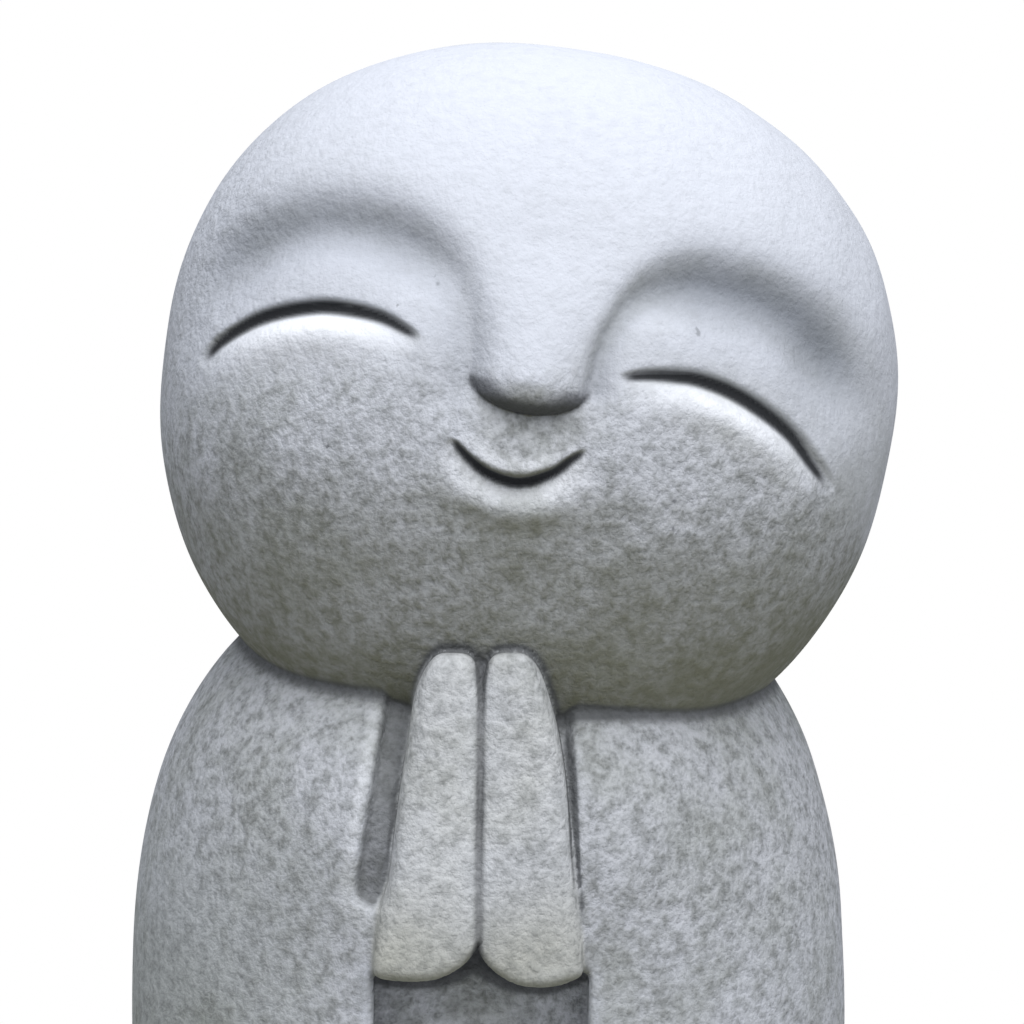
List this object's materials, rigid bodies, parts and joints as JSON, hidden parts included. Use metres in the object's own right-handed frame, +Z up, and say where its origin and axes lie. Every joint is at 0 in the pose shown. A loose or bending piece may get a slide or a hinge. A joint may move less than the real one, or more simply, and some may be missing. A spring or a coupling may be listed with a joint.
{
  "type": "stone jizo statue",
  "caption": "Small garden jizo in grey stone: a big tilted head with closed smiling eyes, and hands pressed together in a hanging-sleeved robe. It stands on its own low base.",
  "frame": {"origin": "middle of the flat underside, under the axis of the robe", "axes": "+Z up along the figure; -Y the way the face and the hands point; +X to the viewer's right"},
  "size_m": [0.2337, 0.2107, 0.4499],
  "materials": {
    "grey_stone": "bush-hammered, weathered, matt"
  },
  "bodies": {
    "root": {"jizo_statue": "grey_stone"}
  },
  "joints": []
}
